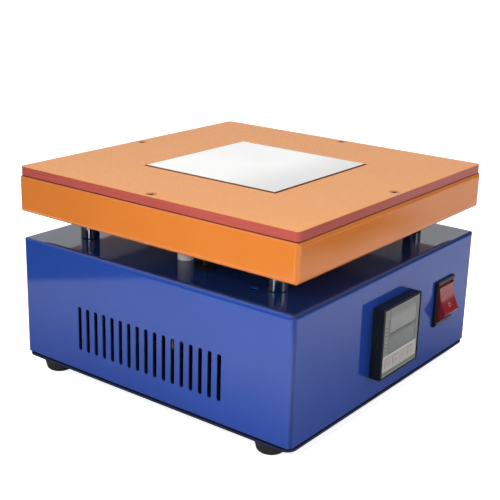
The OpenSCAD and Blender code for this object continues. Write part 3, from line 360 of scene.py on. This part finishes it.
def foot_rubber():
    """Black rubber, bloomed grey on the feet and clean on the grommets above."""
    finish = Finish("foot_rubber", ior=1.48)
    grain = finish.noise(0.6 * MM)
    cloud = finish.spread(finish.noise(7 * MM, detail=3.0))
    bloom = finish.mix(cloud, (0.018, 0.019, 0.019), (0.034, 0.035, 0.034))
    above_feet = finish.ramp(finish.z, 20 * MM, 40 * MM)
    finish.set(
        base_color=finish.mix(above_feet, bloom, (0.004, 0.004, 0.004)),
        roughness=finish.spread(grain, 0.56, 0.70),
    )
    finish.bump(grain, 0.03 * MM, rounding=0.2 * MM)
    return finish.material


def black_plastic():
    return moulded("black_plastic", (0.005, 0.005, 0.006), (0.009, 0.009, 0.010), 0.20,
                   depth=0.004, rounding=0.4)


def drawer_plastic():
    """Black plastic of the fuse drawer, with fine grip lines across its face."""
    finish = Finish("drawer_plastic", ior=1.48, base_color=(0.007, 0.007, 0.008))
    low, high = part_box("fuse_drawer")
    pitch = 0.9 * MM
    grain = finish.noise(0.35 * MM)
    line = finish.math("SINE", finish.both(finish.z, 2 * math.pi / pitch))
    on_face = finish.both(
        finish.ramp(finish.y, high.y - 0.4 * MM, high.y - 0.1 * MM),
        finish.slab(finish.z, low.z + 3.2 * MM, 4.4 * MM),
    )
    across = finish.slab(finish.x, (low.x + high.x) / 2, 13 * MM)
    grip = finish.both(finish.both(on_face, across), finish.ramp(line, -0.4, 0.4))
    finish.set(roughness=finish.spread(grain, 0.22, 0.34))
    finish.bump(finish.math("ADD", grip, finish.both(grain, 0.03)), 0.25 * MM, rounding=0.3 * MM)
    return finish.material


def bezel_plastic():
    """Black plastic of the switch, whose frame round the rocker looks sloped away on its four sides, with a grey
    band painted on the front of its upper and lower bars as their sheen.
    """
    finish = Finish("bezel_plastic", ior=1.48, specular_ior_level=0.3, roughness=0.35)
    low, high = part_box("switch_housing")
    middle = (low + high) / 2
    half = (high - low) / 2
    on_front = finish.ramp(finish.y, low.y + 1.9 * MM, low.y + 2.1 * MM, 1.0, 0.0)
    lean = finish.node("CombineXYZ")
    for axis, value, centre, reach in (("X", finish.x, middle.x, half.x), ("Z", finish.z, middle.z, half.z)):
        bar = finish.ramp(finish.distance(value, centre), reach - 2.9 * MM, reach - 2.6 * MM)
        slope = finish.ramp(finish.math("SUBTRACT", value, centre), -MM, MM, -0.5, 0.5)
        finish.put(lean.inputs[axis], finish.both(finish.both(on_front, bar), slope))
    # Grey band on the front of the upper and lower bars: painted sheen.
    inner = finish.slab(finish.distance(finish.z, middle.z), half.z - 1.6 * MM, 1.6 * MM, 0.3 * MM)
    inner = finish.both(inner, finish.slab(finish.x, middle.x, 2 * half.x - 4 * MM))
    inner = finish.both(inner, on_front)
    finish.set(base_color=finish.mix(inner, (0.006, 0.006, 0.007), (0.11, 0.115, 0.11)))
    tilted = finish.node("VectorMath", operation="ADD")
    finish.put(tilted.inputs[0], finish.rounded(0.4 * MM))
    finish.put(tilted.inputs[1], lean.outputs[0])
    unit = finish.node("VectorMath", operation="NORMALIZE")
    finish.put(unit.inputs[0], tilted.outputs[0])
    finish.put(finish.shader.inputs["Normal"], unit.outputs[0])
    return finish.material


def metal(name, colour, dull, rough, above_case_tone=None):
    """Plated or turned metal with small variations in tone and gloss.

    heated is a darker tone that it has above the case top."""
    finish = Finish(name, metallic=1.0)
    grain = finish.noise(0.4 * MM)
    tone = finish.mix(finish.spread(finish.noise(4 * MM)), colour, dull)
    if above_case_tone:
        tone = finish.mix(finish.ramp(finish.z, CASE_TOP, CASE_TOP + 4 * MM), tone, above_case_tone)
    finish.set(base_color=tone, roughness=finish.spread(grain, rough, rough + 0.12))
    finish.bump(grain, 0.003 * MM, rounding=0.15 * MM)
    return finish.material


def zinc_steel():
    return metal("zinc_steel", (0.60, 0.61, 0.62), (0.50, 0.50, 0.49), 0.25, above_case_tone=(0.06, 0.05, 0.05))


def polished_posts():
    return metal("polished_posts", (0.50, 0.51, 0.52), (0.44, 0.45, 0.46), 0.05)


def brown_steel():
    return metal("brown_steel", (0.42, 0.19, 0.09), (0.30, 0.13, 0.06), 0.34)


def contact_brass():
    return metal("contact_brass", (0.78, 0.60, 0.28), (0.66, 0.48, 0.20), 0.22)


def fuse_glass():
    return metal("fuse_glass", (0.75, 0.76, 0.76), (0.65, 0.66, 0.66), 0.12)


def ceramic():
    return moulded("ceramic", (0.80, 0.78, 0.73), (0.72, 0.70, 0.65), 0.28, grain_size=0.8, depth=0.006)


def insulation_wool():
    return moulded("insulation_wool", (0.78, 0.75, 0.66), (0.62, 0.59, 0.50), 0.9, grain_size=0.5, depth=0.25)


def grey_plastic():
    """Printed film of the controller: grey, with a pale key field and greenish edges."""
    finish = Finish("printed_film", ior=1.48, specular_ior_level=0.4, roughness=0.42)
    dark_line = (0.10, 0.11, 0.105)
    keys_top = FILM_KEYS_Z + FILM_KEYS_H / 2
    keys_foot = FILM_KEYS_Z - FILM_KEYS_H / 2
    across = finish.math("SUBTRACT", finish.x, FASCIA_MIDDLE.x)
    up = finish.math("SUBTRACT", finish.z, FASCIA_MIDDLE.z)
    cloud = finish.spread(finish.noise(3 * MM, detail=3.0))
    tint = finish.mix(cloud, (0.24, 0.245, 0.235), (0.30, 0.305, 0.29))
    keys = finish.mix(cloud, (0.535, 0.525, 0.52), (0.60, 0.59, 0.58))
    tint = finish.mix(finish.slab(up, FILM_KEYS_Z, FILM_KEYS_H), tint, keys)
    tint = finish.mix(finish.slab(up, keys_top, 0.7 * MM), tint, (0.62, 0.63, 0.58))
    tint = finish.mix(finish.ramp(up, keys_foot - 0.6 * MM, keys_foot, 1.0, 0.0), tint, (0.19, 0.235, 0.205))
    column = finish.both(
        finish.slab(across, FILM_COLUMN_X, 0.8 * MM, 0.3 * MM),
        finish.ramp(up, keys_top, keys_top + 0.3 * MM),
    )
    tint = finish.mix(finish.both(column, 0.95), tint, dark_line)
    divider = finish.both(
        finish.slab(up, WINDOW_GAP_Z, 2.0 * MM, 0.3 * MM),
        finish.slab(across, 2.3 * MM, 32 * MM),
    )
    tint = finish.mix(finish.both(divider, 0.7), tint, dark_line)
    reach = finish.larger(finish.distance(across), finish.distance(up))
    rim = finish.ramp(reach, FASCIA_HALF - 1.1 * MM, FASCIA_HALF - 0.7 * MM)
    finish.set(base_color=finish.mix(rim, tint, (0.42, 0.47, 0.37)))
    finish.bump(finish.noise(0.4 * MM), 0.004 * MM, rounding=0.1 * MM)
    return finish.material


def display_window():
    """Smoked display window: the upper one paler than the lower one, and both darker along the top."""
    finish = Finish("display_window", ior=1.5, roughness=0.12, coat_weight=0.6, coat_roughness=0.04)
    up = finish.math("SUBTRACT", finish.z, FASCIA_MIDDLE.z)
    cloud = finish.noise(6 * MM)
    pale = finish.mix(cloud, (0.245, 0.245, 0.24), (0.29, 0.29, 0.285))
    deep = finish.mix(cloud, (0.165, 0.18, 0.175), (0.20, 0.215, 0.21))
    tint = finish.mix(finish.ramp(up, 4.2 * MM, 4.7 * MM), deep, pale)
    tint = finish.mix(finish.ramp(up, 13.6 * MM, 15.6 * MM, 0.0, 0.6), tint, (0.19, 0.195, 0.185))
    tint = finish.mix(finish.slab(up, WINDOW_GAP_Z, 2.4 * MM, 0.5 * MM), tint, (0.10, 0.105, 0.10))
    finish.set(base_color=tint)
    finish.bump(finish.noise(3 * MM), 0.004 * MM, rounding=0.1 * MM)
    return finish.material


def lamp_plastic():
    return moulded("lamp_plastic", (0.55, 0.55, 0.52), (0.62, 0.62, 0.60), 0.25)


def key_plastic():
    return moulded("key_plastic", (0.52, 0.475, 0.46), (0.57, 0.525, 0.51), 0.45)


def circuit_board():
    return moulded("circuit_board", (0.012, 0.10, 0.035), (0.020, 0.13, 0.05), 0.35,
                   grain_size=1.2, depth=0.02)


def red_plastic():
    """Clear red plastic of the rocker, with light scattered inside it and its cheeks painted a brighter red as
    light glowing through them.
    """
    finish = Finish("red_plastic", ior=1.49, roughness=0.16, coat_weight=0.5, coat_roughness=0.03)
    finish.set(subsurface_weight=0.4, subsurface_scale=0.002)
    low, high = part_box("rocker")
    half = (high.x - low.x) / 2
    face = finish.mix(finish.noise(5 * MM), (0.29, 0.013, 0.017), (0.35, 0.018, 0.022))
    # The cheeks are painted brighter red: painted light glowing through the clear plastic.
    away = finish.distance(finish.x, (low.x + high.x) / 2)
    cheek = finish.ramp(away, half - 0.4 * MM, half - 0.1 * MM)
    finish.set(base_color=finish.mix(cheek, face, (0.98, 0.010, 0.008)))
    finish.bump(finish.noise(1.2 * MM), 0.004 * MM, rounding=0.25 * MM)
    return finish.material


def relay_plastic():
    return moulded("relay_plastic", (0.70, 0.69, 0.66), (0.76, 0.75, 0.72), 0.42)


def lead_sleeve():
    return moulded("lead_sleeve", (0.72, 0.68, 0.55), (0.60, 0.55, 0.42), 0.8, grain_size=0.5, depth=0.08)


def grey_lead():
    return moulded("grey_lead", (0.020, 0.020, 0.022), (0.032, 0.032, 0.034), 0.4)


def brown_lead():
    return moulded("brown_lead", (0.085, 0.035, 0.014), (0.11, 0.048, 0.020), 0.4)


def earth_sleeve():
    return moulded("earth_sleeve", (0.11, 0.26, 0.012), (0.14, 0.32, 0.018), 0.4)


def print_ink(name, colour, wear_and_shade):
    return moulded(name, colour, wear_and_shade, 0.5, grain_size=0.3, depth=0.004)


# Finishes by the name of the material slot they fill, or by the name that OTHER_FINISH gives a node
FINISHES = (
    blue_paint, orange_paint, board_laminate, plate_aluminium, polished_posts, zinc_steel, brown_steel,
    contact_brass, fuse_glass, ceramic, insulation_wool, foot_rubber, black_plastic, drawer_plastic,
    bezel_plastic, grey_plastic, display_window, lamp_plastic, key_plastic, red_plastic, relay_plastic,
    circuit_board, lead_sleeve, grey_lead, brown_lead, earth_sleeve,
)
OTHER_FINISH = {"switch_housing": "bezel_plastic", "fuse_drawer": "drawer_plastic"}


def dress_the_model():
    """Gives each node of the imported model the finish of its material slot, or its own finish."""
    made = {make.__name__: make() for make in FINISHES}
    for part in frame["record"]["subparts"]:
        piece = frame["nodes"][part["node"]]
        material = made[OTHER_FINISH.get(part["node"], part["material_slot"])]
        if not piece.material_slots:
            piece.data.materials.append(material)
        for place in piece.material_slots:
            place.material = material


def closed_mesh(name, points, faces):
    """Mesh whose faces point outwards."""
    mesh = bpy.data.meshes.new(name)
    mesh.from_pydata(points, [], faces)
    work = bmesh.new()
    work.from_mesh(mesh)
    bmesh.ops.recalc_face_normals(work, faces=work.faces)
    work.to_mesh(mesh)
    work.free()
    return mesh


def settle(name, mesh, body):
    """Object of a finished mesh that rides on a body of the model."""
    piece = bpy.data.objects.new(name, mesh)
    bpy.context.scene.collection.objects.link(piece)
    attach(piece, body)


def plain_mesh(name, points, faces, body, slot, material):
    """Closed mesh in metres that rides on a body of the model."""
    mesh = closed_mesh(name, points, faces)
    mesh.materials.append(material)
    settle(name, mesh, body)


def row_tree():
    """Geometry Nodes tree that copies one shape along a straight row, with its named inputs."""
    tree = bpy.data.node_groups.new("row", "GeometryNodeTree")
    kinds = {"Shape": "Geometry", "Count": "Int", "Start": "Vector", "Step": "Vector", "Finish": "Material"}
    inputs = {}
    for name, kind in kinds.items():
        socket = tree.interface.new_socket(name, in_out="INPUT", socket_type="NodeSocket" + kind)
        inputs[name] = socket.identifier
    tree.interface.new_socket("Row", in_out="OUTPUT", socket_type="NodeSocketGeometry")
    enter = tree.nodes.new("NodeGroupInput")
    leave = tree.nodes.new("NodeGroupOutput")
    line = tree.nodes.new("GeometryNodeMeshLine")
    line.mode = "OFFSET"
    copies = tree.nodes.new("GeometryNodeInstanceOnPoints")
    whole = tree.nodes.new("GeometryNodeRealizeInstances")
    paint = tree.nodes.new("GeometryNodeSetMaterial")
    tree.links.new(enter.outputs["Count"], line.inputs["Count"])
    tree.links.new(enter.outputs["Start"], line.inputs["Start Location"])
    tree.links.new(enter.outputs["Step"], line.inputs["Offset"])
    tree.links.new(line.outputs["Mesh"], copies.inputs["Points"])
    tree.links.new(enter.outputs["Shape"], copies.inputs["Instance"])
    tree.links.new(copies.outputs["Instances"], whole.inputs["Geometry"])
    tree.links.new(whole.outputs["Geometry"], paint.inputs["Geometry"])
    tree.links.new(enter.outputs["Finish"], paint.inputs["Material"])
    tree.links.new(paint.outputs["Geometry"], leave.inputs["Row"])
    return tree, inputs


def row_of(name, points, faces, count, start, step, body, material):
    """Row of equal shapes made by Geometry Nodes and turned into one plain mesh."""
    tree, inputs = row_tree()
    maker = bpy.data.objects.new(name + "_maker", closed_mesh(name + "_shape", points, faces))
    bpy.context.scene.collection.objects.link(maker)
    modifier = maker.modifiers.new("row", "NODES")
    modifier.node_group = tree
    modifier[inputs["Count"]] = count
    modifier[inputs["Start"]] = start
    modifier[inputs["Step"]] = step
    modifier[inputs["Finish"]] = material
    graph = bpy.context.evaluated_depsgraph_get()
    mesh = bpy.data.meshes.new_from_object(maker.evaluated_get(graph), depsgraph=graph)
    mesh.name = name
    maker.modifiers.remove(modifier)
    bpy.data.objects.remove(maker)
    settle(name, mesh, body)


def print_band(outline, inner, place):
    """Points and faces of a thin print between two closed outlines of as many points each.

    place(u, v, lift) gives the point in space for a point of the outline and a height above the surface."""
    count = len(outline)
    points = [place(u, v, lift) for lift in (0.0, PRINT_T) for ring in (outline, inner) for u, v in ring]
    faces = []
    for i in range(count):
        j = (i + 1) % count
        low_out, low_in, top_out, top_in = ((k * count + i, k * count + j) for k in range(4))
        faces += [
            (low_out[0], low_out[1], low_in[1], low_in[0]),
            (top_out[0], top_in[0], top_in[1], top_out[1]),
            (low_out[0], top_out[0], top_out[1], low_out[1]),
            (low_in[0], low_in[1], top_in[1], top_in[0]),
        ]
    return points, faces


def print_patch(outline, place):
    """Points and faces of a thin filled print with a closed outline, placed as print_band does."""
    count = len(outline)
    points = [place(u, v, lift) for lift in (0.0, PRINT_T) for u, v in outline]
    faces = [tuple(range(count)), tuple(range(count, 2 * count))]
    for i in range(count):
        j = (i + 1) % count
        faces.append((i, j, count + j, count + i))
    return points, faces


def ring_outline(radius, count=32):
    turns = (2 * math.pi * i / count for i in range(count))
    return [(radius * math.cos(turn), radius * math.sin(turn)) for turn in turns]


def on_rocker(u, v, lift):
    """Point on the dished face of the rocker, for a place across and up the face."""
    dip = ROCKER_DISH_R - math.sqrt(ROCKER_DISH_R ** 2 - v ** 2)
    out = -(ROCKER_CREST - ROCKER_DISH) - dip - lift
    tilt = math.radians(ROCKER_TILT)
    y = out * math.cos(tilt) - v * math.sin(tilt)
    z = out * math.sin(tilt) + v * math.cos(tilt)
    return ROCKER_PIVOT + Vector((u, y, z)) * MM


def rocker_marks(ink):
    """Ring and bar printed on the rocker, for off and on."""
    ring = [[(u, v - ROCKER_MARK_Z) for u, v in ring_outline(radius)] for radius in ROCKER_RING]
    plain_mesh("rocker_mark_off", *print_band(*ring, on_rocker), "rocker_body", "grey_plastic", ink)
    u, v = ROCKER_BAR
    corners = ((-u, -v), (u, -v), (u, v), (-u, v))
    bar = [(across, up + ROCKER_MARK_Z) for across, up in corners]
    plain_mesh("rocker_mark_on", *print_patch(bar, on_rocker), "rocker_body", "grey_plastic", ink)


def key_marks(ink):
    """Ring on the first key and arrow heads pointing left, down and up on the others."""
    for name, turn in KEY_MARKS.items():
        low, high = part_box(name)
        middle = (low + high) / 2

        def on_key(u, v, lift):
            return Vector((middle.x + u * MM, low.y - lift * MM, middle.z + v * MM))

        if turn is None:
            outline, inner = (ring_outline(radius) for radius in KEY_RING)
        else:
            c, s = math.cos(math.radians(turn)), math.sin(math.radians(turn))
            outline = [(c * u - s * v, s * u + c * v) for u, v in KEY_ARROW]
            inner = [(KEY_ARROW_HOLE * u, KEY_ARROW_HOLE * v) for u, v in outline]
        plain_mesh(name + "_mark", *print_band(outline, inner, on_key), name + "_body", "key_plastic", ink)


def lamp_marks(ink):
    """Short line with round ends printed under each lamp of the column."""
    low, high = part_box("indicator_lamps")
    lamp = high.x - low.x
    pitch = (high.z - low.z - lamp) / (LAMP_COUNT - 1)
    first = Vector(((low.x + high.x) / 2, FASCIA_LOW.y, high.z - lamp / 2 - pitch / 2))
    turns = [math.radians(turn) for turn in (-90, -45, 0, 45, 90)]
    right = [(LAMP_LINE_REACH + LAMP_LINE_R * math.cos(turn), LAMP_LINE_R * math.sin(turn)) for turn in turns]
    left = [(-u, -v) for u, v in right]
    points, faces = print_patch(right + left, lambda u, v, lift: Vector((u, -lift, v)) * MM)
    step = Vector((0, 0, -pitch))
    row_of("lamp_marks", points, faces, LAMP_COUNT, first, step, "platform", ink)


def place_camera():
    camera = bpy.data.objects.new("camera", bpy.data.cameras.new("camera"))
    camera.data.lens = CAMERA_LENS
    camera.data.sensor_width = CAMERA_SENSOR
    turn = Matrix.Rotation(math.radians(-CAMERA_AZIMUTH), 4, "Z")
    tilt = Matrix.Rotation(math.radians(90 - CAMERA_ELEVATION), 4, "X")
    roll = Matrix.Rotation(math.radians(CAMERA_ROLL), 4, "Z")
    camera.matrix_world = Matrix.Translation(CAMERA_AT) @ turn @ tilt @ roll
    bpy.context.scene.collection.objects.link(camera)
    bpy.context.scene.camera = camera


def soft_light(name, at, width, power, height=None, glint=False):
    """Area lamp at a place, facing the object, square unless it has a height, with its power in watts.

    The camera doesn't see it. Gloss doesn't show it either, except for a glint, which only gloss shows."""
    lamp = bpy.data.lights.new(name, "AREA")
    lamp.shape = "RECTANGLE"
    lamp.size = width
    lamp.size_y = height or width
    lamp.energy = power
    piece = bpy.data.objects.new(name, lamp)
    piece.visible_camera = False
    piece.visible_glossy = glint
    piece.visible_diffuse = not glint
    piece.location = at
    piece.rotation_euler = (LIGHTS_AIM - Vector(at)).to_track_quat("-Z", "Y").to_euler()
    bpy.context.scene.collection.objects.link(piece)


def light_the_object():
    soft_light("key_light", (-0.42, -0.13, 0.24), width=0.20, power=0.98)
    soft_light("post_light", (-0.270, -0.039, 0.136), width=0.06, power=0.034, height=0.036, glint=True)
    soft_light("front_light", (0.60, -0.90, 0.50), width=0.80, power=3.7)
    soft_light("back_light", (0.5, 1.3, 1.6), width=1.4, power=16)
    soft_light("top_light", (0.0, 0.1, 1.9), width=1.4, power=12.5)


def surround():
    """World that the camera sees as white.

    Gloss sees it brightest above the board, and darker low down, overhead and on the camera's side."""
    world = bpy.data.worlds.new("studio")
    bpy.context.scene.world = world
    world.use_nodes = True
    nodes = Nodes(world.node_tree, "Generated")
    x, y, z = nodes.x, nodes.y, nodes.z
    path = nodes.node("LightPath")
    facing = nodes.node("VectorMath", operation="DOT_PRODUCT")
    nodes.put(facing.inputs[0], nodes.at)
    nodes.put(facing.inputs[1], CAMERA_SIDE)

    def background(strength):
        node = nodes.node("Background")
        nodes.put(node.inputs["Color"], (1.0, 1.0, 1.0))
        nodes.put(node.inputs["Strength"], strength)
        return node

    def choose(ray, otherwise, chosen):
        node = nodes.node("MixShader")
        for socket, shader in zip(node.inputs, (path.outputs[ray], otherwise.outputs[0], chosen.outputs[0])):
            nodes.put(socket, shader)
        return node

    # Each zone has two limits of a direction, and the brightness at the one and at the other
    brightness = nodes.ramp(z, 0.16, 0.30, 0.33, 0.86)
    high_up = nodes.ramp(z, 0.36, 0.50, 1.0, 1.9)
    overhead = nodes.ramp(z, 0.74, 0.92, 1.0, 0.40)
    camera_side = nodes.ramp(facing.outputs["Value"], 0.55, 0.75, 1.0, 0.10)
    front_right = nodes.larger(nodes.ramp(y, -0.20, 0.10, 0.20, 1.0), nodes.ramp(x, 0.30, 0.55, 1.0, 0.0))
    left_wall = nodes.larger(nodes.ramp(z, 0.55, 0.76, 0.25, 0.6), nodes.ramp(x, -0.30, -0.05, 0.0, 1.0))
    for zone in (camera_side, front_right, left_wall, high_up, overhead):
        brightness = nodes.both(brightness, zone)
    lighting = choose("Is Glossy Ray", background(AMBIENT), background(brightness))
    whole = choose("Is Camera Ray", lighting, background(1.0))
    nodes.put(nodes.tree.nodes["World Output"].inputs["Surface"], whole.outputs[0])


def floor_finish():
    """Pale floor that the camera sees white.

    Gloss sees it dark past its left edge, close to the object as a painted shadow, and in patches beside it."""
    finish = Finish("pale_floor", roughness=0.9)
    path = finish.node("LightPath")
    side_x, side_y = CAMERA_SIDE[:2]
    towards = finish.math("ADD", finish.both(finish.x, side_x), finish.both(finish.y, side_y))
    across = finish.math("ADD", finish.both(finish.x, side_y), finish.both(finish.y, -side_x))
    near_camera = finish.both(
        finish.ramp(towards, 0.28, 0.36, 0.0, 0.9),
        finish.ramp(finish.distance(across), 0.07, 0.15, 1.0, 0.0),
    )
    past_edge = finish.ramp(finish.math("SUBTRACT", finish.y, finish.x), 0.435, 0.462)
    outside = finish.larger(finish.distance(finish.x), finish.distance(finish.y))
    # Painted shadow, for gloss alone, on the floor close to the object.
    close = finish.ramp(outside, 0.09, 0.23, 0.75, 0.0)
    left_side = finish.both(
        finish.ramp(finish.x, -0.30, -0.10, 0.12, 0.0),
        finish.ramp(finish.y, 0.0, 0.20, 1.0, 0.0),
    )
    right_side = finish.both(
        finish.slab(finish.x, 0.30, 0.18, soft=0.05),
        finish.ramp(finish.y, -0.32, -0.27, 1.0, 0.0),
    )
    dark = past_edge
    for part in (left_side, right_side, near_camera, close):
        dark = finish.larger(dark, part)
    mirrored = finish.both(dark, path.outputs["Is Glossy Ray"])
    finish.set(
        base_color=finish.mix(mirrored, (0.85, 0.85, 0.85), (0.10, 0.10, 0.10)),
        emission_color=(1.0, 1.0, 1.0),
        emission_strength=finish.both(path.outputs["Is Camera Ray"], FLOOR_LIFT),
    )
    return finish.material


def lay_floor():
    """Pale sheet under the object."""
    mesh = bpy.data.meshes.new("floor")
    corners = [(u * FLOOR_HALF, v * FLOOR_HALF, 0) for u, v in ((-1, -1), (1, -1), (1, 1), (-1, 1))]
    mesh.from_pydata(corners, [], [(0, 1, 2, 3)])
    mesh.materials.append(floor_finish())
    floor = bpy.data.objects.new("floor", mesh)
    bpy.context.scene.collection.objects.link(floor)


bpy.context.scene.view_settings.view_transform = "Standard"
place_camera()
light_the_object()
surround()
lay_floor()
dress_the_model()
rocker_marks(print_ink("pale_print", (0.44, 0.37, 0.33), (0.50, 0.44, 0.40)))
key_marks(print_ink("rose_print", (0.46, 0.33, 0.32), (0.52, 0.37, 0.36)))
lamp_marks(print_ink("dark_print", (0.07, 0.075, 0.07), (0.10, 0.105, 0.10)))
